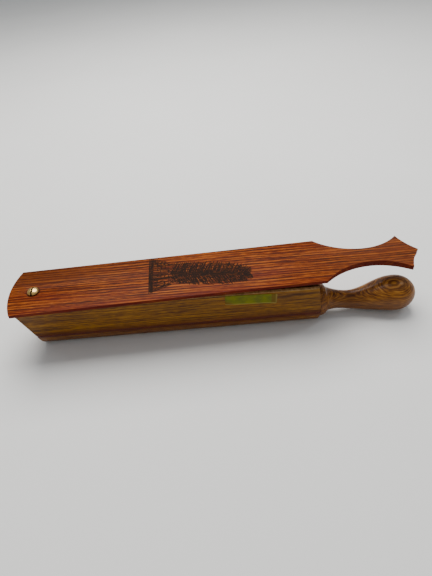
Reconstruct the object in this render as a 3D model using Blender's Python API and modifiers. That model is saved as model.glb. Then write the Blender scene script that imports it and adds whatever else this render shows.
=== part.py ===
"""Long wooden box call: a paddle lid that turns and tips on a sprung screw over a sound box.

Metres, +Z up. +X runs along the box from the hinge screw to the turned handle. The origin is on the
flat underside of the base, straight below the hinge screw.
"""

import bmesh
import bpy
from math import asin, atan2, cos, hypot, pi, radians, sin, sqrt, tau
from mathutils import Matrix

ASSEMBLY = "box_call"
GAP = 0.0003  # clearance between pieces that touch or are glued

# Paddle lid, measured from the hinge screw's axis
LID_TOP = 0.0505
LID_THICKNESS = 0.0055
LID_HALF_WIDTH = 0.0249
LID_OFFSET = 0.0010  # the screw hole is this far off the lid's centre line
LID_CROWN_RADIUS = 0.114  # the underside is a shallow cylinder along the lid
LID_END = 0.0190  # the rounded end's reach past the screw
LID_END_RADIUS = 0.0625
LID_REST_TURN = radians(2)
NECK_X = 0.268
NECK_HALF_WIDTH = 0.0083
SHOULDER_RADIUS = 0.054  # concave curve from the lid's shoulder to the neck
FLARE_RADIUS = 0.0445  # concave curve from the neck to the tail's corner
TAIL_HALF_WIDTH = 0.0198
TAIL_TIP_X = 0.3094
TAIL_HOLLOW = 0.0013  # how far the tail's two end curves sag inwards

# Sound box
BOX_HALF_WIDTH = 0.0167
BOARD_THICKNESS = 0.003
JOINT_HEIGHT = 0.016  # top of the base, where the side boards stand
LIP_HEIGHT = LID_TOP - LID_THICKNESS - GAP
LIP_ARCH = 0.0014  # the lips are highest at mid-length by this much
FRONT_END_X = -0.0052  # slanted end, at the joint
FRONT_SLANT = 0.364  # metres of reach for each metre of height
REAR_END_X = 0.2277
REAR_SLANT = 0.123
BASE_FLAT_HALF_WIDTH = 0.0085
BASE_HULL_BULGE = 0.0012
HINGE_BLOCK_END = 0.021
HINGE_BLOCK_TOP = 0.0418
REAR_BLOCK_START = 0.203
REAR_BLOCK_TOP = 0.0414

# Turned handle, on an axis along X
HANDLE_AXIS_HEIGHT = 0.0151
COLLAR_X = REAR_END_X + 2 * GAP
COLLAR_RADIUS = 0.0144
GROOVE_X = 0.2338
GROOVE_RADIUS = 0.0123
HANDLE_NECK_X = 0.251
HANDLE_NECK_RADIUS = 0.0077
BULB_X = 0.293
BULB_RADIUS = 0.0149
HANDLE_END_X = 0.3098
NECK_DROP = 0.0037  # the neck is shaved deeper on top, so its centre hangs below the axis
NECK_DROP_START = 0.230
NECK_DROP_END = 0.288
TENON_RADIUS = 0.006
TENON_LENGTH = 0.018

# Hinge screw, spring and washer, on the vertical axis through the origin
HEAD_RADIUS = 0.0047
HEAD_HEIGHT = 0.0027
SLOT_WIDTH = 0.0012
SLOT_DEPTH = 0.0014
SLOT_TURN = radians(85)
SHANK_RADIUS = 0.0024
SCREW_LENGTH = 0.030
LID_HOLE_RADIUS = 0.0031
COUNTERBORE_RADIUS = 0.0047
LID_COUNTERBORE_DEPTH = 0.0020
BLOCK_COUNTERBORE_DEPTH = 0.0060
WASHER_RADIUS = 0.0042
WASHER_THICKNESS = 0.0006
SPRING_RADIUS = 0.0036  # to the middle of the wire
SPRING_WIRE_RADIUS = 0.00045
SPRING_TURNS = 5

# Blank label on the side board that faces -Y
LABEL_LENGTH = 0.0408
LABEL_HEIGHT = 0.0100
LABEL_THICKNESS = 0.0002
LABEL_X = 0.1708
LABEL_Z = 0.0382
LABEL_TILT = radians(-3)

LID_UNDERSIDE = LID_TOP - LID_THICKNESS


def clear_scene():
    for thing in list(bpy.data.objects):
        bpy.data.objects.remove(thing, do_unlink=True)
    for holder in list(bpy.context.scene.collection.children):
        bpy.context.scene.collection.children.unlink(holder)


def new_collection(name):
    holder = bpy.data.collections.new(name)
    bpy.context.scene.collection.children.link(holder)
    return holder


def material(name, colour, roughness, metallic=0.0):
    made = bpy.data.materials.new(name)
    made.use_nodes = True
    shader = made.node_tree.nodes["Principled BSDF"]
    shader.inputs["Base Color"].default_value = (*colour, 1.0)
    shader.inputs["Roughness"].default_value = roughness
    shader.inputs["Metallic"].default_value = metallic
    return made


def keep_mesh(name, mesh, holder):
    piece = bpy.data.objects.new(name, mesh)
    holder.objects.link(piece)
    return piece


def tidy_mesh(mesh):
    """Welds loose caps and points every face outwards."""
    work = bmesh.new()
    work.from_mesh(mesh)
    bmesh.ops.remove_doubles(work, verts=work.verts, dist=1e-7)
    bmesh.ops.recalc_face_normals(work, faces=work.faces)
    work.to_mesh(mesh)
    work.free()


def frozen(name, source, holder):
    """The evaluated mesh of a curve or of an object with modifiers, as a plain mesh object."""
    bpy.context.view_layer.update()
    evaluated = source.evaluated_get(bpy.context.evaluated_depsgraph_get())
    mesh = bpy.data.meshes.new_from_object(evaluated)
    tidy_mesh(mesh)
    mesh.transform(source.matrix_world)
    bpy.data.objects.remove(source)
    return keep_mesh(name, mesh, holder)


def extruded(name, outline, thickness, holder, placed=Matrix()):
    """A flat outline as a 2D curve, extruded evenly to both sides of its plane, then placed."""
    curve = bpy.data.curves.new(name + "_outline", "CURVE")
    curve.dimensions = "2D"
    curve.fill_mode = "BOTH"
    curve.extrude = thickness / 2
    spline = curve.splines.new("POLY")
    spline.points.add(len(outline) - 1)
    for point, (x, y) in zip(spline.points, outline):
        point.co = (x, y, 0, 1)
    spline.use_cyclic_u = True
    source = bpy.data.objects.new(name + "_outline", curve)
    source.matrix_world = placed
    holder.objects.link(source)
    return frozen(name, source, holder)


def turned(name, profile, steps, holder):
    """A profile of (radius, height) points, top to bottom, turned about Z with a Screw modifier."""
    mesh = bpy.data.meshes.new(name + "_profile")
    points = [(radius, 0, height) for radius, height in profile]
    mesh.from_pydata(points, [(i, i + 1) for i in range(len(points) - 1)], [])
    source = keep_mesh(name + "_profile", mesh, holder)
    screw = source.modifiers.new("turn", "SCREW")
    screw.steps = steps
    screw.render_steps = steps
    screw.use_merge_vertices = True
    screw.merge_threshold = 1e-6
    return frozen(name, source, holder)


def cylinder(name, radius, bottom, top, holder, sides=32):
    mesh = bpy.data.meshes.new(name)
    work = bmesh.new()
    bmesh.ops.create_cone(
        work, cap_ends=True, segments=sides, radius1=radius, radius2=radius, depth=top - bottom,
        matrix=Matrix.Translation((0, 0, (top + bottom) / 2)),
    )
    work.to_mesh(mesh)
    work.free()
    return keep_mesh(name, mesh, holder)


def helper(piece):
    piece.hide_render = True
    piece.display_type = "WIRE"
    return piece


def boolean(piece, other, operation="DIFFERENCE"):
    step = piece.modifiers.new(other.name, "BOOLEAN")
    step.operation = operation
    step.solver = "EXACT"
    step.object = other


def finish_piece(piece, look):
    piece.data.materials.clear()
    piece.data.materials.append(look)
    piece.data.shade_smooth()
    piece.data.set_sharp_from_angle(angle=radians(30))


def arc(centre, radius, start, end, steps):
    """Points on an arc, both ends included."""
    angles = [start + (end - start) * i / steps for i in range(steps + 1)]
    return [(centre[0] + radius * cos(a), centre[1] + radius * sin(a)) for a in angles]


def bowed(start, end, sag, steps):
    """Points on the arc from start to end that lies sag to the right of the straight line."""
    chord = hypot(end[0] - start[0], end[1] - start[1])
    radius = (chord * chord / 4 + sag * sag) / (2 * abs(sag))
    along = ((end[0] - start[0]) / chord, (end[1] - start[1]) / chord)
    right = (along[1], -along[0])
    points = []
    for i in range(steps + 1):
        run = chord * (i / steps - 0.5)
        rise = sqrt(radius**2 - run**2) - (radius - abs(sag))
        rise = rise if sag > 0 else -rise
        middle = ((start[0] + end[0]) / 2, (start[1] + end[1]) / 2)
        points.append((
            middle[0] + along[0] * run + right[0] * rise,
            middle[1] + along[1] * run + right[1] * rise,
        ))
    return points


def front_end_x(z):
    """The slanted hinge end of the boards and the block at height z."""
    return FRONT_END_X - FRONT_SLANT * (z - JOINT_HEIGHT)


def rear_end_x(z):
    """The handle end, which leans back towards the hinge as it rises."""
    return REAR_END_X - REAR_SLANT * (z - JOINT_HEIGHT)


def lid_half_outline():
    """The lid's +Y edge, from the rounded end's corner to the tail's tip, about its centre line."""
    end_turn = asin(LID_HALF_WIDTH / LID_END_RADIUS)
    corner_x = LID_END_RADIUS * (1 - cos(end_turn)) - LID_END
    drop = LID_HALF_WIDTH - NECK_HALF_WIDTH
    shoulder_turn = atan2(SHOULDER_RADIUS - drop, sqrt(SHOULDER_RADIUS**2 - (SHOULDER_RADIUS - drop) ** 2))
    shoulder = arc(
        (NECK_X, NECK_HALF_WIDTH + SHOULDER_RADIUS), SHOULDER_RADIUS, pi + shoulder_turn, 1.5 * pi, 12
    )
    rise = TAIL_HALF_WIDTH - NECK_HALF_WIDTH
    flare_turn = asin((FLARE_RADIUS - rise) / FLARE_RADIUS)
    flare = arc((NECK_X, NECK_HALF_WIDTH + FLARE_RADIUS), FLARE_RADIUS, 1.5 * pi, tau - flare_turn, 10)
    tail = bowed(flare[-1], (TAIL_TIP_X, 0), TAIL_HOLLOW, 6)
    return [(corner_x, LID_HALF_WIDTH)] + shoulder + flare[1:] + tail[1:]


def make_lid(parts, cutters, look):
    half = lid_half_outline()
    end_turn = asin(LID_HALF_WIDTH / LID_END_RADIUS)
    rounded_end = arc((LID_END_RADIUS - LID_END, 0), LID_END_RADIUS, pi + end_turn, pi - end_turn, 12)
    outline = half + [(x, -y) for x, y in half[-2::-1]] + rounded_end[1:-1]
    outline = [(x, y + LID_OFFSET) for x, y in outline]
    blank = Matrix.Translation((0, 0, -LID_THICKNESS / 2))
    lid = extruded("paddle_lid", outline[::-1], LID_THICKNESS, parts, blank)

    crown_turn = asin((LID_HALF_WIDTH + 0.002) / LID_CROWN_RADIUS)
    crown = arc(
        (LID_OFFSET, LID_CROWN_RADIUS - LID_THICKNESS), LID_CROWN_RADIUS,
        1.5 * pi - crown_turn, 1.5 * pi + crown_turn, 16,
    )
    above = 0.004
    crown = [(crown[0][0], above)] + crown + [(crown[-1][0], above)]
    length = LID_END + TAIL_TIP_X + 0.02
    along_x = Matrix(((0, 0, 1, (TAIL_TIP_X - LID_END) / 2), (1, 0, 0, 0), (0, 1, 0, 0), (0, 0, 0, 1)))
    crown_bar = helper(extruded("lid_crown_bar", crown, length, cutters, along_x))
    hole = helper(cylinder("lid_hole", LID_HOLE_RADIUS, -0.01, 0.005, cutters))
    bore_top = LID_COUNTERBORE_DEPTH - LID_THICKNESS
    bore = helper(cylinder("lid_counterbore", COUNTERBORE_RADIUS, -0.01, bore_top, cutters))
    boolean(lid, crown_bar, "INTERSECT")
    for cutter in (crown_bar, hole, bore):
        cutter.matrix_world = Matrix.Translation((0, 0, LID_TOP)) @ Matrix.Rotation(LID_REST_TURN, 4, "Z")
    for cutter in (hole, bore):
        boolean(lid, cutter)
    lid.location = (0, 0, LID_TOP)
    lid.rotation_euler = (0, 0, LID_REST_TURN)
    finish_piece(lid, look)
    return lid


def lip_arch(x_from, x_to, steps):
    """Points along the arched lip, from one end of the board to the other."""
    ends = LIP_HEIGHT - LIP_ARCH
    return bowed((x_from, ends), (x_to, ends), -LIP_ARCH, steps)


def make_side_board(name, side, parts, look):
    foot = JOINT_HEIGHT + GAP
    ends = LIP_HEIGHT - LIP_ARCH
    arch = lip_arch(front_end_x(ends), rear_end_x(ends), 16)
    outline = [(rear_end_x(foot), foot), (front_end_x(foot), foot)] + arch
    middle = side * (BOX_HALF_WIDTH - BOARD_THICKNESS / 2)
    upright = Matrix.Translation((0, middle, 0)) @ Matrix.Rotation(pi / 2, 4, "X")
    board = extruded(name, outline, BOARD_THICKNESS, parts, upright)
    finish_piece(board, look)
    return board


def make_base(parts, look):
    """The base's section is flat below, swells out in a hull curve and is flat where the boards stand."""
    hull = bowed((BASE_FLAT_HALF_WIDTH, 0), (BOX_HALF_WIDTH, JOINT_HEIGHT), BASE_HULL_BULGE, 8)
    section = hull + [(-y, z) for y, z in hull[::-1]]
    along_x = Matrix(((0, 0, 1, 0), (1, 0, 0, 0), (0, 1, 0, 0), (0, 0, 0, 1)))
    base = extruded("base_board", section, 2.0, parts, along_x)
    for vertex in base.data.vertices:
        vertex.co.x = FRONT_END_X if vertex.co.x < 0 else REAR_END_X
    finish_piece(base, look)
    return base


def make_block(name, outline, parts, look):
    width = 2 * (BOX_HALF_WIDTH - BOARD_THICKNESS - GAP)
    upright = Matrix.Rotation(pi / 2, 4, "X")
    block = extruded(name, outline, width, parts, upright)
    finish_piece(block, look)
    return block


def make_hinge_block(parts, cutters, look):
    foot = JOINT_HEIGHT + GAP
    outline = [
        (front_end_x(foot), foot), (HINGE_BLOCK_END, foot),
        (HINGE_BLOCK_END, HINGE_BLOCK_TOP), (front_end_x(HINGE_BLOCK_TOP), HINGE_BLOCK_TOP),
    ]
    block = make_block("hinge_block", outline, parts, look)
    tip = LID_TOP - SCREW_LENGTH
    pilot = helper(cylinder("pilot_hole", SHANK_RADIUS + GAP, tip - GAP, LID_TOP, cutters))
    floor = HINGE_BLOCK_TOP - BLOCK_COUNTERBORE_DEPTH
    bore = helper(cylinder("block_counterbore", COUNTERBORE_RADIUS, floor, LID_TOP, cutters))
    boolean(block, pilot)
    boolean(block, bore)
    return block


def make_rear_block(parts, tenon_bore, look):
    foot = JOINT_HEIGHT + GAP
    outline = [
        (REAR_BLOCK_START, foot), (rear_end_x(foot), foot),
        (rear_end_x(REAR_BLOCK_TOP), REAR_BLOCK_TOP), (REAR_BLOCK_START, REAR_BLOCK_TOP),
    ]
    block = make_block("rear_block", outline, parts, look)
    boolean(block, tenon_bore)
    return block


def handle_radius(x):
    """The handle's radius along its axis: collar, concave sweep to the neck, swell, rounded end."""
    if x < GROOVE_X:
        return COLLAR_RADIUS + (GROOVE_RADIUS - COLLAR_RADIUS) * (x - COLLAR_X) / (GROOVE_X - COLLAR_X)
    if x < HANDLE_NECK_X:
        run = (HANDLE_NECK_X - x) / (HANDLE_NECK_X - GROOVE_X)
        return GROOVE_RADIUS - (GROOVE_RADIUS - HANDLE_NECK_RADIUS) * sqrt(1 - run * run)
    if x < BULB_X:
        swell = (1 - cos(pi * (x - HANDLE_NECK_X) / (BULB_X - HANDLE_NECK_X))) / 2
        return HANDLE_NECK_RADIUS + (BULB_RADIUS - HANDLE_NECK_RADIUS) * swell
    run = min((x - BULB_X) / (HANDLE_END_X - BULB_X), 1)
    return BULB_RADIUS * sqrt(1 - run * run)


def neck_drop(x):
    share = (x - NECK_DROP_START) / (NECK_DROP_END - NECK_DROP_START)
    return NECK_DROP * sin(pi * share) ** 2 if 0 < share < 1 else 0.0


def make_handle(parts, look):
    end = [(HANDLE_END_X - BULB_X) * sin(pi / 2 * (1 - i / 8)) + BULB_X for i in range(8)]
    swell = [BULB_X + (HANDLE_NECK_X - BULB_X) * i / 14 for i in range(15)]
    sweep = [
        GROOVE_X + (HANDLE_NECK_X - GROOVE_X) * (1 - cos(pi / 2 * (1 - i / 6))) for i in range(1, 7)
    ]
    profile = [(handle_radius(x), x) for x in end + swell + sweep + [COLLAR_X]]
    profile[0] = (0, HANDLE_END_X)
    tenon_end = COLLAR_X - TENON_LENGTH
    profile += [(TENON_RADIUS, COLLAR_X), (TENON_RADIUS, tenon_end), (0, tenon_end)]
    handle = turned("turned_handle", profile, 40, parts)
    handle.data.transform(Matrix.Rotation(pi / 2, 4, "Y"))
    handle.location.z = HANDLE_AXIS_HEIGHT
    for vertex in handle.data.vertices:
        vertex.co.z -= neck_drop(vertex.co.x)
    finish_piece(handle, look)
    return handle


def make_screw(parts, cutters, look):
    """A domed, slotted wood screw with a tapered point."""
    seat = LID_TOP + GAP
    tip = LID_TOP - SCREW_LENGTH
    dome = [(HEAD_RADIUS * sin(a), seat + HEAD_HEIGHT * cos(a)) for a in (pi / 2 * i / 8 for i in range(9))]
    profile = dome + [(SHANK_RADIUS, seat), (SHANK_RADIUS, tip + 0.004), (0, tip)]
    profile[0] = (0, seat + HEAD_HEIGHT)
    screw = turned("hinge_screw", profile, 32, parts)
    mesh = bpy.data.meshes.new("screw_slot")
    work = bmesh.new()
    bmesh.ops.create_cube(work, size=1)
    bmesh.ops.scale(work, vec=(4 * HEAD_RADIUS, SLOT_WIDTH, 2 * SLOT_DEPTH), verts=work.verts)
    work.to_mesh(mesh)
    work.free()
    slot = helper(keep_mesh("screw_slot", mesh, cutters))
    slot.location = (0, 0, seat + HEAD_HEIGHT)
    slot.rotation_euler = (0, 0, SLOT_TURN)
    boolean(screw, slot)
    finish_piece(screw, look)
    return screw


def washer_top():
    return LID_UNDERSIDE + LID_COUNTERBORE_DEPTH - GAP


def make_washer(parts, look):
    top = washer_top()
    bottom = top - WASHER_THICKNESS
    inner = SHANK_RADIUS + 2 * GAP
    washer = turned(
        "spring_washer",
        [(inner, top), (WASHER_RADIUS, top), (WASHER_RADIUS, bottom), (inner, bottom), (inner, top)],
        32, parts,
    )
    finish_piece(washer, look)
    return washer


def make_spring(parts, look):
    """A compression coil from the block's counterbore up to the washer."""
    low = HINGE_BLOCK_TOP - BLOCK_COUNTERBORE_DEPTH + GAP + SPRING_WIRE_RADIUS
    high = washer_top() - WASHER_THICKNESS - GAP - SPRING_WIRE_RADIUS
    steps_per_turn = 16
    count = SPRING_TURNS * steps_per_turn
    curve = bpy.data.curves.new("hinge_spring_wire", "CURVE")
    curve.dimensions = "3D"
    curve.bevel_depth = SPRING_WIRE_RADIUS
    curve.bevel_resolution = 2
    curve.use_fill_caps = True
    spline = curve.splines.new("POLY")
    spline.points.add(count)
    for i, point in enumerate(spline.points):
        turn = tau * i / steps_per_turn
        height = low + (high - low) * i / count
        point.co = (SPRING_RADIUS * cos(turn), SPRING_RADIUS * sin(turn), height, 1)
    source = bpy.data.objects.new("hinge_spring_wire", curve)
    parts.objects.link(source)
    spring = frozen("hinge_spring", source, parts)
    finish_piece(spring, look)
    return spring


def make_label(parts, look):
    corner = 0.0012
    half = (LABEL_LENGTH / 2, LABEL_HEIGHT / 2)
    outline = []
    for quarter in range(4):
        side_x = 1 if quarter in (0, 3) else -1
        side_z = 1 if quarter < 2 else -1
        centre = (side_x * (half[0] - corner), side_z * (half[1] - corner))
        outline += arc(centre, corner, quarter * pi / 2, (quarter + 1) * pi / 2, 4)
    face = -(BOX_HALF_WIDTH + GAP + LABEL_THICKNESS / 2)
    placed = (
        Matrix.Translation((LABEL_X, face, LABEL_Z))
        @ Matrix.Rotation(pi / 2, 4, "X")
        @ Matrix.Rotation(LABEL_TILT, 4, "Z")
    )
    label = extruded("blank_label", outline, LABEL_THICKNESS, parts, placed)
    finish_piece(label, look)
    return label


def main():
    clear_scene()
    parts = new_collection(ASSEMBLY)
    cutters = new_collection("cutters")

    red_wood = material("red_heartwood", (0.30, 0.08, 0.02), 0.35)
    board_wood = material("olive_board_wood", (0.10, 0.05, 0.01), 0.38)
    base_wood = material("base_wood", (0.09, 0.04, 0.01), 0.4)
    block_wood = material("block_wood", (0.16, 0.09, 0.03), 0.5)
    handle_wood = material("handle_wood", (0.12, 0.055, 0.012), 0.35)
    brass = material("brass", (0.72, 0.50, 0.18), 0.25, 1.0)
    steel = material("spring_steel", (0.5, 0.5, 0.5), 0.35, 1.0)
    zinc = material("washer_zinc", (0.6, 0.6, 0.6), 0.3, 1.0)
    green_paper = material("green_paper", (0.13, 0.19, 0.01), 0.55)

    bore = cylinder("tenon_bore", TENON_RADIUS + GAP, COLLAR_X - TENON_LENGTH - GAP, COLLAR_X + 0.01, cutters)
    bore.data.transform(Matrix.Rotation(pi / 2, 4, "Y"))
    bore.location.z = HANDLE_AXIS_HEIGHT
    helper(bore)

    lid = make_lid(parts, cutters, red_wood)
    make_side_board("front_side_board", -1, parts, board_wood)
    make_side_board("rear_side_board", 1, parts, board_wood)
    base = make_base(parts, base_wood)
    boolean(base, bore)
    make_hinge_block(parts, cutters, block_wood)
    make_rear_block(parts, bore, block_wood)
    make_handle(parts, handle_wood)
    make_screw(parts, cutters, brass)
    washer = make_washer(parts, zinc)
    make_spring(parts, steel)
    make_label(parts, green_paper)

    tilt_axis = bpy.data.objects.new("lid_tilt_axis", None)
    tilt_axis.location = (HEAD_RADIUS, 0, LID_TOP)
    parts.objects.link(tilt_axis)
    bpy.context.view_layer.update()
    for piece in (washer, lid):
        piece.parent = tilt_axis
        piece.matrix_parent_inverse = tilt_axis.matrix_world.inverted()


main()
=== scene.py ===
import random
from math import cos, pi, radians, sin, sqrt, tau

import bmesh
import bpy
from mathutils import Matrix, Vector


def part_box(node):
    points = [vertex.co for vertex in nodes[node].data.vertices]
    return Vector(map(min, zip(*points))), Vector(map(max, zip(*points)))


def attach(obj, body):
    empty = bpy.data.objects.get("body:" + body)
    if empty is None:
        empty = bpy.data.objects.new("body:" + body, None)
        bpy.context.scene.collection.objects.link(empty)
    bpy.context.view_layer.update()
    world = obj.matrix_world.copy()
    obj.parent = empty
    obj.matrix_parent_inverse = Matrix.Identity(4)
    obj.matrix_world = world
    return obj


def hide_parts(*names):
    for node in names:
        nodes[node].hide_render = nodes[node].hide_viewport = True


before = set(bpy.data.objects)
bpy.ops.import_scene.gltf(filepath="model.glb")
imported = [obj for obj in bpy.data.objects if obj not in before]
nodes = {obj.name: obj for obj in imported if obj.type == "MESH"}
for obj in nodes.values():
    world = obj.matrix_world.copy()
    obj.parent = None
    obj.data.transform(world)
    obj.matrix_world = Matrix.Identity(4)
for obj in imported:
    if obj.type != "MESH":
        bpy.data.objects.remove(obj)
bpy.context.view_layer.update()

# Lengths are in metres, in the frame of the part: X along the box from the screw, Z up.
CAMERA_PLACE = Vector((0.1465, -0.2535, 0.2793))
CAMERA_AZIMUTH = radians(-0.52)
CAMERA_DROP = radians(43.62)
CAMERA_ROLL = radians(-5.31)
CAMERA_LENS = 27.06

LID_TURN = radians(2)  # the lid rests a little off the box's line
LID_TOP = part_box("paddle_lid")[1].z
SLOT_TURN = radians(85)
SLOT_WIDTH = 0.0012
HEAD_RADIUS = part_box("hinge_screw")[1].x
JOINT_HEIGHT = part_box("base_board")[1].z
BOX_HALF_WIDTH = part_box("base_board")[1].y
BOX_END_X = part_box("base_board")[1].x
BOX_END_SLANT = 0.123  # the boards' handle end leans back by this much for each metre of height

HANDLE_AXIS = 0.0151
HANDLE_TIP_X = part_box("turned_handle")[1].x
COLLAR_X = BOX_END_X + 0.0002
COLLAR_RADIUS = 0.0144
COLLAR_LINES = 0.00133  # from one turned line to the next
GROOVE_X = 0.2338
GROOVE_RADIUS = 0.0123
NECK_X = 0.251
NECK_RADIUS = 0.0077
NECK_DROP = 0.0037  # the neck sags below the handle's axis by up to this much
NECK_DROP_START = 0.230
NECK_DROP_LENGTH = 0.058
BULB_X = 0.293
BULB_RADIUS = 0.0149
EYE_X = 0.2895  # the eye of grain rings on top of the bulb
EYE_Y = -0.0034
EYE_LENGTH = 0.0072
EYE_WIDTH = 0.0042

LABEL_HALF_LENGTH = 0.0204
LABEL_HALF_HEIGHT = 0.0050
LABEL_TILT = radians(3)
LABEL_CORNER = 0.0012
STRIP_WIDTH = 0.0042  # the plain tan strip at the label's handle end

JOINT_RED_HEIGHT = 0.0075  # how far the red of the joint reaches up the boards
NEAR_EDGE = 0.0175  # from the lid's middle to where its near edge begins to redden
SHADED_CORNER_END = 0.105  # the painted shade on the far corner at the hinge end fades out here
# Where the painted sheen on the lid's tail starts and where it reaches full strength.
TAIL_SHEEN_START = 0.20
TAIL_SHEEN_END = 0.28


def srgb(red, green, blue):
    """A display colour in 0 to 255 as linear RGBA."""
    def linear(value):
        value = value / 255
        return value / 12.92 if value <= 0.04045 else ((value + 0.055) / 1.055) ** 2.4
    return (linear(red), linear(green), linear(blue), 1.0)


# ---- node helpers ----

class Tree:
    """A small wrapper for building one material's nodes."""

    def __init__(self, name):
        self.material = bpy.data.materials.new(name)
        self.material.use_nodes = True
        self.tree = self.material.node_tree
        self.shader = self.tree.nodes["Principled BSDF"]

    def add(self, kind, **settings):
        made = self.tree.nodes.new("ShaderNode" + kind)
        for key, value in settings.items():
            setattr(made, key, value)
        return made

    def plug(self, target, value):
        if isinstance(value, bpy.types.NodeSocket):
            self.tree.links.new(value, target)
        else:
            target.default_value = value

    def math(self, operation, first, second=0.0):
        made = self.add("Math", operation=operation)
        self.plug(made.inputs[0], first)
        self.plug(made.inputs[1], second)
        return made.outputs[0]

    def place(self):
        """The point on the piece, as x, y and z in metres; it moves with the piece."""
        split = self.add("SeparateXYZ")
        self.plug(split.inputs[0], self.add("TexCoord").outputs["Object"])
        return split.outputs[0], split.outputs[1], split.outputs[2]

    def turned(self, x, y, angle):
        """How far the point lies to one side of the X axis turned by angle."""
        along_y = self.math("MULTIPLY", y, cos(angle))
        along_x = self.math("MULTIPLY", x, sin(angle))
        return self.math("SUBTRACT", along_y, along_x)

    def upward(self):
        """How far the surface faces up, from -1 to 1."""
        facing = self.add("SeparateXYZ")
        self.plug(facing.inputs[0], self.add("NewGeometry").outputs["Normal"])
        return facing.outputs[2]

    def vector(self, x, y, z):
        made = self.add("CombineXYZ")
        for socket, value in zip(made.inputs, (x, y, z)):
            self.plug(socket, value)
        return made.outputs[0]

    def noise(self, vector, scale, detail, roughness=0.55):
        made = self.add("TexNoise")
        self.plug(made.inputs["Vector"], vector)
        made.inputs["Scale"].default_value = scale
        made.inputs["Detail"].default_value = detail
        made.inputs["Roughness"].default_value = roughness
        return made.outputs[0]

    def span(self, value, low, high, to_low=0.0, to_high=1.0):
        """A smooth step from to_low to to_high while value goes from low to high."""
        made = self.add("MapRange", interpolation_type="SMOOTHSTEP")
        for socket, number in zip(made.inputs, (value, low, high, to_low, to_high)):
            self.plug(socket, number)
        return made.outputs[0]

    def mix(self, share, first, second):
        """The first colour with a share of the second mixed in."""
        made = self.add("Mix", data_type="RGBA")
        self.plug(made.inputs[0], share)
        self.plug(made.inputs[6], first)
        self.plug(made.inputs[7], second)
        return made.outputs[2]

    def ramp(self, value, stops):
        """A colour read off (position, colour) stops."""
        made = self.add("ValToRGB")
        band = made.color_ramp
        while len(band.elements) < len(stops):
            band.elements.new(0.5)
        for element, (position, colour) in zip(band.elements, stops):
            element.position = position
            element.color = colour
        self.plug(made.inputs[0], value)
        return made.outputs[0]

    def bump(self, height, strength, distance):
        made = self.add("Bump")
        made.inputs["Strength"].default_value = strength
        made.inputs["Distance"].default_value = distance
        self.plug(made.inputs["Height"], height)
        return made.outputs[0]

    def edge(self, radius):
        """1 along sharp edges, 0 on flat ground."""
        rounded = self.add("Bevel", samples=4)
        rounded.inputs["Radius"].default_value = radius
        along = self.add("VectorMath", operation="DOT_PRODUCT")
        self.plug(along.inputs[0], rounded.outputs[0])
        self.plug(along.inputs[1], self.add("NewGeometry").outputs["Normal"])
        return self.span(along.outputs["Value"], 0.995, 0.86)

    def finish(self, colour, roughness, normal=None):
        self.plug(self.shader.inputs["Base Color"], colour)
        self.plug(self.shader.inputs["Roughness"], roughness)
        if normal is not None:
            self.plug(self.shader.inputs["Normal"], normal)
        return self.material


def wood(name, tones, layers, streak=(11, 560), fine=(38, 1900), warp=0.0022, coat=0.12, gloss=0.25,
         weights=(0.22, 0.60, 0.08, 0.22, 0.2), contrast=0.16, wear=None, extra=None, seed=0.0, rings=None):
    """Lengthwise grain along X. layers is the direction, in Y and Z, in which it changes fastest.

    streak and fine give two grain layers as noise scales along and across the grain, and weights says
    how much the wide, thin, tone, broken and hair layers count. rings adds regular lines: their
    spacing and their strength.
    """
    t = Tree(name)
    x, y, z = t.place()
    stretched = t.vector(t.math("MULTIPLY", x, 16), t.math("MULTIPLY", y, 22), t.math("MULTIPLY", z, 22))
    wander = t.noise(stretched, 1, 2)
    across = t.math("ADD", t.math("MULTIPLY", y, layers[0]), t.math("MULTIPLY", z, layers[1]))
    across = t.math("ADD", across, t.math("MULTIPLY", t.math("SUBTRACT", wander, 0.5), warp * 2))
    aside = t.math("SUBTRACT", t.math("MULTIPLY", y, layers[1]), t.math("MULTIPLY", z, layers[0]))

    def band(lengthwise, crosswise, shift, detail):
        spot = t.vector(
            t.math("ADD", t.math("MULTIPLY", x, lengthwise), seed + shift),
            t.math("MULTIPLY", across, crosswise),
            t.math("MULTIPLY", aside, crosswise * 0.12),
        )
        return t.noise(spot, 1, detail, 0.6)

    wide = band(streak[0], streak[1], 0.0, 2)
    thin = band(fine[0], fine[1], 5.0, 1)
    hair = band(120, 3400, 17.0, 2)
    broken = band(150, 1500, 23.0, 1)
    tone = band(5, 45, 9.0, 2)
    pores = t.span(band(150, 4200, 13.0, 1), 0.60, 0.72)
    value = 0.5
    for layer, weight in zip((wide, thin, tone, broken, hair), weights):
        value = t.math("ADD", value, t.math("MULTIPLY", t.math("SUBTRACT", layer, 0.5), weight))
    if rings:
        phase = t.math("ADD", t.math("MULTIPLY", across, tau / rings[0]), t.math("MULTIPLY", tone, 14.0))
        value = t.math("ADD", value, t.math("MULTIPLY", t.math("SINE", phase), rings[1]))
    spread = t.span(value, 0.5 - contrast, 0.5 + contrast)
    colour = t.ramp(spread, tones)
    colour = t.mix(t.math("MULTIPLY", pores, 0.5), colour, tones[0][1])
    if wear:
        rub = t.math("MULTIPLY", t.edge(0.0009), t.span(t.noise(t.vector(x, y, z), 260, 3), 0.38, 0.60))
        colour = t.mix(t.math("MULTIPLY", rub, 0.5), colour, wear)
    if extra:
        colour = extra(t, colour, x, y, z)
    height = t.math("SUBTRACT", t.math("MULTIPLY", hair, 0.6), t.math("MULTIPLY", pores, 0.5))
    t.shader.inputs["Coat Weight"].default_value = coat
    t.shader.inputs["Coat Roughness"].default_value = 0.24
    t.shader.inputs["Specular IOR Level"].default_value = gloss
    rough = t.span(t.math("ADD", hair, t.math("MULTIPLY", pores, 0.3)), 0.3, 0.8, 0.44, 0.62)
    return t.finish(colour, rough, t.bump(height, 0.35, 0.00025))


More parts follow.
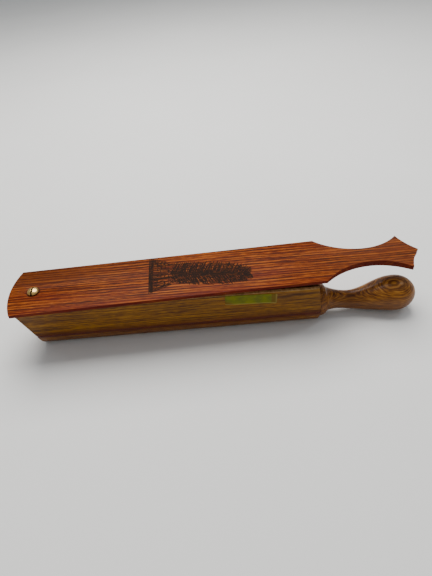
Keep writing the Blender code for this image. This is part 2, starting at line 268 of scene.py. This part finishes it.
LID_TONES = [
    (0.0, srgb(40, 8, 0)), (0.25, srgb(72, 22, 0)), (0.5, srgb(100, 38, 2)),
    (0.75, srgb(128, 57, 6)), (1.0, srgb(166, 90, 24)),
]
BOARD_TONES = [
    (0.0, srgb(54, 25, 0)), (0.3, srgb(94, 54, 0)), (0.6, srgb(123, 76, 0)), (1.0, srgb(156, 106, 10)),
]
HANDLE_TONES = [
    (0.0, srgb(60, 24, 0)), (0.3, srgb(104, 56, 6)), (0.6, srgb(138, 84, 16)), (1.0, srgb(182, 122, 42)),
]
BLOCK_TONES = [
    (0.0, srgb(62, 36, 8)), (0.5, srgb(106, 70, 26)), (1.0, srgb(138, 98, 48)),
]


def lid_marks(t, colour, x, y, z):
    """Red patches and near edge, painted shade browning the far corner, a painted pinkish sheen on the tail,
    a dark ring round the screw, sideways faces painted darker red (partly painted shade, partly varnish
    build-up), chalk below.
    """
    patches = t.noise(t.vector(t.math("MULTIPLY", x, 9), t.math("MULTIPLY", y, 55), 0.0), 1, 2)
    colour = t.mix(t.span(patches, 0.48, 0.70, 0.0, 0.35), colour, srgb(96, 16, 0))
    sideways = t.turned(x, y, LID_TURN)
    near_edge = t.span(sideways, -NEAR_EDGE, -NEAR_EDGE - 0.005, 0.0, 0.3)
    colour = t.mix(near_edge, colour, srgb(104, 14, 0))
    # Painted shade: the far corner at the hinge end is darkened towards brown.
    far_side = t.span(sideways, 0.0, 0.014, 0.0, 0.62)
    shaded_far_corner = t.math("MULTIPLY", t.span(x, SHADED_CORNER_END, 0.02), far_side)
    colour = t.mix(shaded_far_corner, colour, srgb(74, 30, 2))
    # Painted sheen: a pinkish grey mixed in towards the tail stands in for the varnish's reflection there.
    painted_sheen_tail = t.span(x, TAIL_SHEEN_START, TAIL_SHEEN_END, 0.0, 0.36)
    colour = t.mix(painted_sheen_tail, colour, srgb(96, 56, 38))
    # A darker ring round the screw head.
    away = t.math("SQRT", t.math("ADD", t.math("MULTIPLY", x, x), t.math("MULTIPLY", y, y)))
    ring = t.span(away, HEAD_RADIUS + 0.0012, HEAD_RADIUS + 0.0001, 0.0, 0.75)
    colour = t.mix(ring, colour, srgb(30, 10, 3))
    upward = t.upward()
    # Sideways faces painted darker red: partly painted shade, partly the varnish built up on the edges.
    edge_face = t.span(t.math("ABSOLUTE", upward), 0.75, 0.30, 0.0, 0.7)
    colour = t.mix(edge_face, colour, srgb(92, 14, 0))
    below = t.span(upward, -0.7, -0.9)
    chalk = t.span(t.noise(t.vector(x, y, z), 170, 5), 0.42, 0.68, 0.1, 0.6)
    return t.mix(t.math("MULTIPLY", below, chalk), colour, srgb(196, 172, 140))


def board_marks(t, colour, x, y, z):
    """A reddish zone just above the joint, and the lip's top painted pale like chalk: painted light that
    lifts the shade under the lid.
    """
    low = t.span(z, JOINT_HEIGHT + JOINT_RED_HEIGHT, JOINT_HEIGHT + 0.0004, 0.0, 0.6)
    colour = t.mix(low, colour, srgb(82, 26, 2))
    seam = t.span(z, JOINT_HEIGHT + 0.0017, JOINT_HEIGHT + 0.0008, 0.0, 0.85)
    colour = t.mix(seam, colour, srgb(76, 18, 0))
    # Painted light: the lip's upward faces are made pale, chalk-like, to lift the shade under the lid's
    # overhang.
    chalk = t.span(t.noise(t.vector(x, y, z), 400, 3), 0.30, 0.70, 0.45, 0.95)
    lip = t.math("MULTIPLY", t.span(t.upward(), 0.25, 0.75), chalk)
    return t.mix(lip, colour, srgb(206, 170, 118))


def base_marks(t, colour, x, y, z):
    """Dark red where it meets the boards, and a little redder all over."""
    colour = t.mix(0.25, colour, srgb(104, 36, 2))
    return t.mix(t.span(z, JOINT_HEIGHT - 0.0029, JOINT_HEIGHT - 0.0013, 0.0, 0.9), colour, srgb(76, 18, 0))


def handle_marks(t, colour, x, y, z):
    """An eye of grain rings near the top of the bulb, rubbed lines turned into the collar, and painted shade
    on the handle's lower side.
    """
    wobble = t.math("MULTIPLY", t.math("SUBTRACT", t.noise(t.vector(x, y, z), 110, 2), 0.5), 0.9)
    long = t.math("DIVIDE", t.math("SUBTRACT", x, EYE_X), EYE_LENGTH)
    wide = t.math("DIVIDE", t.math("SUBTRACT", y, EYE_Y), EYE_WIDTH)
    reach = t.math("SQRT", t.math("ADD", t.math("MULTIPLY", long, long), t.math("MULTIPLY", wide, wide)))
    rings = t.span(t.math("COSINE", t.math("MULTIPLY", t.math("ADD", reach, wobble), 7.5)), -0.6, 0.8)
    eye = t.ramp(rings, [(0.0, srgb(96, 52, 8)), (1.0, srgb(176, 118, 46))])
    upper = t.span(z, HANDLE_AXIS + 0.006, HANDLE_AXIS + 0.010)
    colour = t.mix(t.math("MULTIPLY", t.span(reach, 1.7, 0.9, 0.0, 0.75), upper), colour, eye)
    turning = t.math("COSINE", t.math("MULTIPLY", t.math("SUBTRACT", x, COLLAR_X), tau / COLLAR_LINES))
    collar = t.math("MULTIPLY", t.span(turning, 0.1, 0.95, 0.0, 0.5), t.span(x, GROOVE_X + 0.001, GROOVE_X))
    colour = t.mix(collar, colour, srgb(166, 104, 48))
    # Painted shade: the handle darkens towards its lower side.
    painted_shade_below = t.span(z, HANDLE_AXIS + 0.007, HANDLE_AXIS - 0.006, 0.0, 0.5)
    return t.mix(painted_shade_below, colour, srgb(72, 34, 4))


def darkened_slot_and_rim(t, colour, x, y, z):
    """Darker colour in the slot across the screw head and low on the head where it meets the lid."""
    aside = t.math("ABSOLUTE", t.turned(x, y, SLOT_TURN))
    inside = t.span(aside, SLOT_WIDTH / 2 + 0.0001, SLOT_WIDTH / 2)
    rim = t.span(z, LID_TOP + 0.0012, LID_TOP + 0.0002, 0.0, 0.6)
    return t.mix(t.math("MAXIMUM", inside, rim), colour, srgb(34, 20, 8))


def metal(name, colour, tint, roughness, scratch=900, extra=None):
    """Bare metal that dulls to tint in blotches. scratch is how fine its lines are."""
    t = Tree(name)
    x, y, z = t.place()
    t.shader.inputs["Metallic"].default_value = 1.0
    lines = t.noise(t.vector(t.math("MULTIPLY", x, 0.12), y, z), scratch, 3)
    dull = t.noise(t.vector(x, y, z), 420, 4)
    shade = t.mix(t.span(dull, 0.42, 0.72, 0.0, 0.6), colour, tint)
    if extra:
        shade = extra(t, shade, x, y, z)
    rough = t.span(lines, 0.3, 0.7, roughness * 0.75, roughness * 1.5)
    return t.finish(shade, rough, t.bump(lines, 0.12, 0.0001))


def sticker_paint():
    """A blank film label: olive green, with a tan strip at one end, pale rims and a faded corner."""
    t = Tree("sticker_film")
    x, y, z = t.place()
    low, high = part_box("blank_label")
    middle = (low + high) / 2
    strip = t.span(x, high.x - STRIP_WIDTH - 0.0008, high.x - STRIP_WIDTH, 0.0, 0.85)
    height = t.math("SUBTRACT", z, low.z)
    corner = t.math("ADD", t.math("SUBTRACT", x, low.x), t.math("MULTIPLY", height, 1.5))
    ragged = t.math("MULTIPLY", t.noise(t.vector(x, y, z), 240, 4), 0.006)
    faded = t.span(t.math("ADD", corner, ragged), 0.0165, 0.0095)
    rise = t.math("MULTIPLY", t.math("SUBTRACT", x, middle.x), sin(LABEL_TILT))
    upright = t.math("ADD", z, rise)
    lower_rim = t.span(upright, middle.z - 0.0034, middle.z - 0.0046)
    end_rim = t.span(x, high.x - 0.0016, high.x - 0.0010)
    mottle = t.noise(t.vector(t.math("MULTIPLY", x, 0.5), y, z), 300, 4)
    green = t.ramp(t.span(mottle, 0.3, 0.7), [(0.0, srgb(86, 90, 0)), (1.0, srgb(116, 116, 2))])
    colour = t.mix(t.math("MULTIPLY", t.math("MAXIMUM", strip, faded), 0.9), green, srgb(104, 70, 14))
    rim = t.math("MULTIPLY", t.math("MAXIMUM", lower_rim, end_rim), 0.55)
    colour = t.mix(rim, colour, srgb(150, 128, 62))
    t.shader.inputs["Specular IOR Level"].default_value = 0.15
    return t.finish(colour, t.span(mottle, 0.2, 0.8, 0.42, 0.6), t.bump(mottle, 0.1, 0.0001))


def burnt_paint():
    t = Tree("burnt_line")
    x, y, z = t.place()
    char = t.noise(t.vector(t.math("MULTIPLY", x, 0.4), y, z), 900, 4)
    burnt = [(0.0, srgb(26, 14, 9)), (0.7, srgb(46, 27, 17)), (1.0, srgb(76, 40, 20))]
    colour = t.ramp(t.span(char, 0.3, 0.72), burnt)
    t.shader.inputs["Specular IOR Level"].default_value = 0.06
    return t.finish(colour, t.span(char, 0.2, 0.8, 0.55, 0.8), t.bump(char, 0.4, 0.0001))


# ---- pieces ----

def dress(piece, look):
    piece.data.materials.clear()
    piece.data.materials.append(look)
    return piece


def link(piece):
    bpy.context.scene.collection.objects.link(piece)
    return piece


def built(work, name, look, smooth=True):
    """An object made from a bmesh, wearing its look."""
    mesh = bpy.data.meshes.new(name)
    work.to_mesh(mesh)
    work.free()
    if smooth:
        mesh.shade_smooth()
    return dress(link(bpy.data.objects.new(name, mesh)), look)


def skin(work, rings):
    """Faces between each ring of corners and the next."""
    for near, far in zip(rings, rings[1:]):
        for i in range(len(near)):
            k = (i + 1) % len(near)
            work.faces.new((near[i], near[k], far[k], far[i]))


def softened(name, node, body, look, width, segments=3):
    """A CAD node's shape with its loose faces joined and its edges rounded off."""
    work = bmesh.new()
    work.from_mesh(nodes[node].data)
    bmesh.ops.remove_doubles(work, verts=work.verts, dist=2e-6)
    bmesh.ops.dissolve_limit(
        work, angle_limit=radians(1), verts=work.verts, edges=work.edges, use_dissolve_boundaries=False)
    bmesh.ops.recalc_face_normals(work, faces=work.faces)
    piece = built(work, name, look)
    step = piece.modifiers.new("rounded edges", "BEVEL")
    step.width = width
    step.segments = segments
    step.limit_method = "ANGLE"
    step.angle_limit = radians(35)
    step.harden_normals = True
    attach(piece, body)
    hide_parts(node)


def handle_profile():
    """(x, radius) from the box end to the tip, with fine turned lines in the collar."""
    collar_lines, sweep, swell, end = 24, 24, 32, 20  # rings in each stretch
    shoulder = COLLAR_X + 0.0010
    chamfer = 0.0004
    line_depth = 0.00028
    points = [(COLLAR_X, COLLAR_RADIUS - chamfer), (COLLAR_X + chamfer, COLLAR_RADIUS)]
    for i in range(collar_lines + 1):
        x = shoulder + (GROOVE_X - shoulder) * i / collar_lines
        line = line_depth / 2 * (1 - cos(tau * (x - COLLAR_X) / COLLAR_LINES))
        taper = (COLLAR_RADIUS - GROOVE_RADIUS) * (i / collar_lines) ** 1.6
        points.append((x, COLLAR_RADIUS - taper - line))
    for i in range(1, sweep + 1):
        run = 1 - i / sweep
        dip = (GROOVE_RADIUS - NECK_RADIUS) * sqrt(1 - run * run)
        points.append((NECK_X - (NECK_X - GROOVE_X) * run, GROOVE_RADIUS - dip))
    for i in range(1, swell + 1):
        rise = (1 - cos(pi * i / swell)) / 2
        x = NECK_X + (BULB_X - NECK_X) * i / swell
        points.append((x, NECK_RADIUS + (BULB_RADIUS - NECK_RADIUS) * rise))
    for i in range(1, end + 1):
        turn = pi / 2 * i / end
        points.append((BULB_X + (HANDLE_TIP_X - BULB_X) * sin(turn), BULB_RADIUS * cos(turn)))
    return points


def handle_point(x, radius, turn):
    """A point of the handle's skin. The neck sags, and the collar lies along the boards' leaning end."""
    share = (x - NECK_DROP_START) / NECK_DROP_LENGTH
    drop = NECK_DROP * sin(pi * share) ** 2 if 0 < share < 1 else 0.0
    z = HANDLE_AXIS - drop + radius * sin(turn)
    fit = max(0.0, (GROOVE_X - x) / (GROOVE_X - COLLAR_X))
    return (x - BOX_END_SLANT * max(0.0, z - JOINT_HEIGHT) * fit, radius * cos(turn), z)


def make_handle(look):
    sides = 96
    work = bmesh.new()
    rings = [
        [work.verts.new(handle_point(x, radius, tau * i / sides)) for i in range(sides)]
        for x, radius in handle_profile()[:-1]
    ]
    skin(work, rings)
    tip = work.verts.new((HANDLE_TIP_X, 0, HANDLE_AXIS))
    for i in range(sides):
        work.faces.new((rings[-1][i], rings[-1][(i + 1) % sides], tip))
    work.faces.new(rings[0])
    bmesh.ops.recalc_face_normals(work, faces=work.faces)
    piece = built(work, "turned_grip", look)
    piece.data.set_sharp_from_angle(angle=radians(50))
    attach(piece, "box")
    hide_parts("turned_handle")


def make_sticker(look):
    """A thin film that follows the board, with one corner lifting a little."""
    low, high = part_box("blank_label")
    centre = (low + high) / 2
    columns, rows = 40, 14
    tilt = Matrix.Rotation(LABEL_TILT, 4, "Y")
    off_board, corner_lift, ripple_height = 0.00008, 0.0007, 0.00003
    work = bmesh.new()
    grid = []
    for j in range(rows + 1):
        row = []
        for i in range(columns + 1):
            a, b = 2 * i / columns - 1, 2 * j / rows - 1
            long, tall = a * LABEL_HALF_LENGTH, b * LABEL_HALF_HEIGHT
            over_end = max(0.0, abs(long) - LABEL_HALF_LENGTH + LABEL_CORNER)
            over_top = max(0.0, abs(tall) - LABEL_HALF_HEIGHT + LABEL_CORNER)
            reach = sqrt(over_end ** 2 + over_top ** 2)
            if reach > LABEL_CORNER:
                long -= (1 if long > 0 else -1) * over_end * (1 - LABEL_CORNER / reach)
                tall -= (1 if tall > 0 else -1) * over_top * (1 - LABEL_CORNER / reach)
            lift = corner_lift * max(0.0, (a - b - 1.35) / 0.65) ** 2
            ripple = ripple_height * sin(9 * a + 2 * b)
            spot = tilt @ Vector((long, 0, tall))
            y = -BOX_HALF_WIDTH - off_board - lift - abs(ripple)
            row.append(work.verts.new((centre.x + spot.x, y, centre.z + spot.z)))
        grid.append(row)
    for j in range(rows):
        for i in range(columns):
            work.faces.new((grid[j][i], grid[j][i + 1], grid[j + 1][i + 1], grid[j + 1][i]))
    bmesh.ops.recalc_face_normals(work, faces=work.faces)
    piece = built(work, "sticker", look)
    film = piece.modifiers.new("film", "SOLIDIFY")
    film.thickness = 0.00006
    film.offset = 0
    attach(piece, "box")
    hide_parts("blank_label")


def between(x, stops):
    """A value read off a line through (x, value) points."""
    for (low, first), (high, second) in zip(stops, stops[1:]):
        if x <= high:
            return first + (second - first) * (x - low) / (high - low)
    return stops[-1][1]


# The burnt feather, in millimetres. SHAFT gives the shaft's place across the lid at distances from the
# screw, and VANE how far the vane reaches to each side of it.
MOTIF_START = 92.0
MOTIF_END = 173.5
MOTIF_MIDDLE = 4.0
BAR_THICKNESS = 2.6
BAR_REACH = 20.6
BAR_STROKES = 14
FAN_START = MOTIF_START + 2
FAN_LENGTH = 18
FAN_REACH = 19.6
FAN_STROKES = 34
FAN_ROWS = [98.5, 101.5, 104.5, 107.5, 110.5]
BARB_START = 109.0
FILL_STROKES = 900
SHAFT_STROKES = 50
SHAFT = [(91, 4.0), (110, 3.7), (132, 0.2), (MOTIF_END, -6.5)]
VANE = [
    (97, 19.8), (110, 12.7), (120, 13.4), (132, 13.7), (150, 13.0), (163, 10.0), (170, 5.5), (MOTIF_END, 1),
]


def make_motif(look):
    """A plain feather burnt into the lid: a barred end, a fan, a shaft and many tapered strokes."""
    draw = random.Random(11)
    work = bmesh.new()
    steps = 5  # along each stroke

    def stroke(start, end, width, taper=0.55):
        level = LID_TOP + 0.00002 + 0.00002 * draw.random()
        run = Vector((end[0] - start[0], end[1] - start[1]))
        side = Vector((-run.y, run.x)).normalized() * width / 2
        bend = side * draw.uniform(-1.2, 1.2)
        left, right = [], []
        for i in range(steps + 1):
            share = i / steps
            middle = Vector(start) + run * share + bend * sin(pi * share)
            reach = side * (1 - taper * share) * draw.uniform(0.8, 1.15)
            for line, spot in ((left, middle + reach), (right, middle - reach)):
                line.append(work.verts.new((spot.x / 1000, spot.y / 1000, level)))
        for i in range(steps):
            work.faces.new((right[i], right[i + 1], left[i + 1], left[i]))

    for i in range(BAR_STROKES):
        x = MOTIF_START + BAR_THICKNESS * draw.random() ** 1.2
        far = BAR_REACH * draw.uniform(0.9, 1.0)
        end = (x + draw.uniform(-0.3, 0.3), MOTIF_MIDDLE + far * draw.uniform(0.95, 1.0))
        stroke((x, MOTIF_MIDDLE - far), end, 0.65, 0.15)
    for i in range(FAN_STROKES):
        lane = -1 + 2 * (i + draw.uniform(-0.3, 0.3)) / (FAN_STROKES - 1)
        reach = draw.uniform(0.55, 1.0)
        start = (FAN_START, MOTIF_MIDDLE + FAN_REACH * lane)
        end = (FAN_START + FAN_LENGTH * reach, 3.7 + (FAN_REACH - 7.4 * reach) * lane)
        stroke(start, end, draw.uniform(0.6, 1.05), 0.4)
    for x in FAN_ROWS:
        half = between(x, VANE) * 0.92
        for i in range(10):
            y = 3.9 + half * draw.uniform(-1, 1)
            start = (x + draw.uniform(-0.5, 0.5), y)
            stroke(start, (x + draw.uniform(-0.5, 0.5), y + draw.uniform(2, 5)), 0.6, 0.3)
    x = BARB_START
    while x < MOTIF_END - 1.5:
        for side in (1, -1):
            reach = between(x, VANE) * draw.uniform(0.86, 1.08)
            base = between(x, SHAFT)
            end = min(x + 5.5 * draw.uniform(0.6, 1.3), MOTIF_END)
            stroke((x, base - side * 0.4), (end, base + side * reach), draw.uniform(0.8, 1.2))
        x += draw.uniform(0.56, 0.78)
    for i in range(FILL_STROKES):
        x = draw.uniform(BARB_START - 1, MOTIF_END - 4)
        side = draw.choice((1, -1))
        spot = between(x, SHAFT) + side * between(x, VANE) * draw.random() ** 0.8 * 0.9
        long = draw.uniform(1.2, 3.0)
        stroke((x, spot), (x + long, spot + side * long * draw.uniform(0.2, 0.8)), draw.uniform(0.35, 0.7))
    for i in range(SHAFT_STROKES):
        x = BARB_START + (MOTIF_END - 3 - BARB_START) * i / SHAFT_STROKES
        stroke((x, between(x, SHAFT)), (x + 3.0, between(x + 3.0, SHAFT)), 1.1, 0.1)
    work.transform(Matrix.Rotation(LID_TURN, 4, "Z") @ Matrix.Translation((0, 0.0005, 0)))
    piece = built(work, "burnt_feather", look, smooth=False)
    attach(piece, "lid")


def make_glue_line(look):
    """Squeezed-out glue along the joint between each board and the base."""
    low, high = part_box("base_board")
    count, sides = 110, 8
    short, sunk, raised = 0.0004, 0.0003, 0.00015  # at each end, into the board, above the base
    for side, name in ((-1, "front_glue_line"), (1, "rear_glue_line")):
        draw = random.Random(3 + side)
        work = bmesh.new()
        rings = []
        for i in range(count + 1):
            x = low.x + short + (high.x - low.x - 2 * short) * i / count
            swell = 0.00028 + 0.00008 * draw.random()
            ring = []
            for k in range(sides):
                out = side * (BOX_HALF_WIDTH - sunk) + side * swell * cos(tau * k / sides)
                up = JOINT_HEIGHT + raised + swell * 0.8 * sin(tau * k / sides)
                ring.append(work.verts.new((x, out, up)))
            rings.append(ring)
        skin(work, rings)
        work.faces.new(rings[0])
        work.faces.new(rings[-1])
        bmesh.ops.recalc_face_normals(work, faces=work.faces)
        piece = built(work, name, look)
        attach(piece, "box")


def glue_paint():
    t = Tree("glue_line")
    x, y, z = t.place()
    blot = t.noise(t.vector(t.math("MULTIPLY", x, 0.3), y, z), 500, 3)
    colour = t.ramp(blot, [(0.3, srgb(66, 12, 0)), (0.7, srgb(104, 32, 0))])
    return t.finish(colour, t.span(blot, 0.3, 0.7, 0.35, 0.6))


# ---- stage ----

def make_camera():
    data = bpy.data.cameras.new("camera")
    data.lens = CAMERA_LENS
    data.sensor_width = 36
    data.clip_start = 0.01
    data.clip_end = 50
    camera = link(bpy.data.objects.new("camera", data))
    aim = Matrix.Rotation(-CAMERA_AZIMUTH, 4, "Z") @ Matrix.Rotation(radians(90) - CAMERA_DROP, 4, "X")
    camera.matrix_world = Matrix.Translation(CAMERA_PLACE) @ aim @ Matrix.Rotation(CAMERA_ROLL, 4, "Z")
    bpy.context.scene.camera = camera


def make_stage():
    """A wide round sweep: flat ground that curves up into a low wall with no visible corner."""
    flat, bend, wall, sides, steps = 2.2, 1.4, 1.2, 96, 16
    centre_x = 0.14
    profile = [(0.6, 0.0), (1.2, 0.0), (flat, 0.0)]
    for i in range(1, steps + 1):
        turn = pi / 2 * i / steps
        profile.append((flat + bend * sin(turn), bend * (1 - cos(turn))))
    profile.append((flat + bend, bend + wall))
    work = bmesh.new()
    rings = []
    for r, h in profile:
        spots = [(centre_x + r * cos(tau * k / sides), r * sin(tau * k / sides), h) for k in range(sides)]
        rings.append([work.verts.new(spot) for spot in spots])
    work.faces.new(rings[0])
    skin(work, rings[::-1])
    t = Tree("pale_floor")
    x, y, z = t.place()
    cloud = t.noise(t.vector(x, y, z), 3, 3)
    pale = t.ramp(cloud, [(0.3, (0.84, 0.84, 0.825, 1)), (0.7, (0.88, 0.88, 0.865, 1))])
    built(work, "floor", t.finish(pale, 0.8))


def area_light(name, place, aim, size, power, colour):
    data = bpy.data.lights.new(name, "AREA")
    data.shape = "SQUARE"
    data.size = size
    data.energy = power
    data.color = colour
    light = link(bpy.data.objects.new(name, data))
    light.location = place
    light.rotation_euler = (Vector(place) - Vector(aim)).to_track_quat("Z", "Y").to_euler()


def make_light():
    """Pale light from all round, a broad key light behind and a small cool one beyond the handle."""
    world = bpy.data.worlds.new("studio")
    bpy.context.scene.world = world
    world.use_nodes = True
    sky = world.node_tree.nodes["Background"]
    sky.inputs["Color"].default_value = (0.93, 0.96, 1, 1)
    sky.inputs["Strength"].default_value = 0.41
    area_light(
        "key", place=(0.1, 0.5, 0.95), aim=(0.14, 0, 0.02), size=0.85, power=17, colour=(1, 0.98, 0.95))
    area_light(
        "window", place=(0.82, 0.17, 0.86), aim=(0.29, 0, 0.02), size=0.16, power=0.9, colour=(0.90, 0.95, 1))


make_camera()
make_stage()
make_light()

lid_look = wood(
    "red_heartwood_varnish", LID_TONES, (1.0, 0.25), streak=(6, 700), fine=(18, 1500), warp=0.0007,
    rings=(0.0030, 0.045), weights=(0.04, 0.46, 0.07, 0.18, 0.34), contrast=0.13, coat=0.02, gloss=0.07,
    wear=srgb(160, 80, 40), extra=lid_marks)
board_look = wood(
    "olive_board_varnish", BOARD_TONES, (0.25, 1.0), streak=(9, 620), fine=(22, 1350), warp=0.0009,
    weights=(0.16, 0.62, 0.08, 0.34, 0.2), contrast=0.19, gloss=0.13,
    wear=srgb(132, 92, 40), extra=board_marks, seed=31)
base_look = wood(
    "base_varnish", BOARD_TONES, (0.5, 0.9), streak=(9, 600), fine=(22, 1350), warp=0.0009,
    weights=(0.18, 0.62, 0.08, 0.34, 0.2), contrast=0.19, gloss=0.15,
    wear=srgb(110, 70, 26), extra=base_marks, seed=57)
block_look = wood("sanded_block", BLOCK_TONES, (0.6, 0.8), coat=0.0, seed=83)
handle_look = wood(
    "handle_varnish", HANDLE_TONES, (-0.22, 1.0), streak=(8, 760), fine=(24, 2100), warp=0.0012,
    weights=(0.10, 0.58, 0.05, 0.34, 0.26), contrast=0.24, coat=0.2, gloss=0.2, extra=handle_marks, seed=12)
brass_look = metal(
    "worn_brass", colour=(0.84, 0.57, 0.20, 1), tint=(0.44, 0.24, 0.06, 1), roughness=0.24, extra=darkened_slot_and_rim)
wire_look = metal(
    "drawn_wire", colour=(0.55, 0.55, 0.55, 1), tint=(0.26, 0.25, 0.24, 1), roughness=0.3, scratch=1500)
washer_look = metal(
    "zinc_plate", colour=(0.66, 0.67, 0.69, 1), tint=(0.40, 0.40, 0.39, 1), roughness=0.32, scratch=1200)

softened("paddle", "paddle_lid", "lid", lid_look, 0.00045)
softened("labelled_board", "front_side_board", "box", board_look, 0.0005)
softened("plain_board", "rear_side_board", "box", board_look, 0.0005)
softened("hull_base", "base_board", "box", base_look, 0.0006)
softened("screw_block", "hinge_block", "box", block_look, 0.0003, 2)
softened("end_block", "rear_block", "box", block_look, 0.0004, 2)
softened("slotted_screw", "hinge_screw", "box", brass_look, 0.00012, 2)
dress(nodes["hinge_spring"], wire_look)
dress(nodes["spring_washer"], washer_look)
make_handle(handle_look)
make_sticker(sticker_paint())
make_motif(burnt_paint())
make_glue_line(glue_paint())
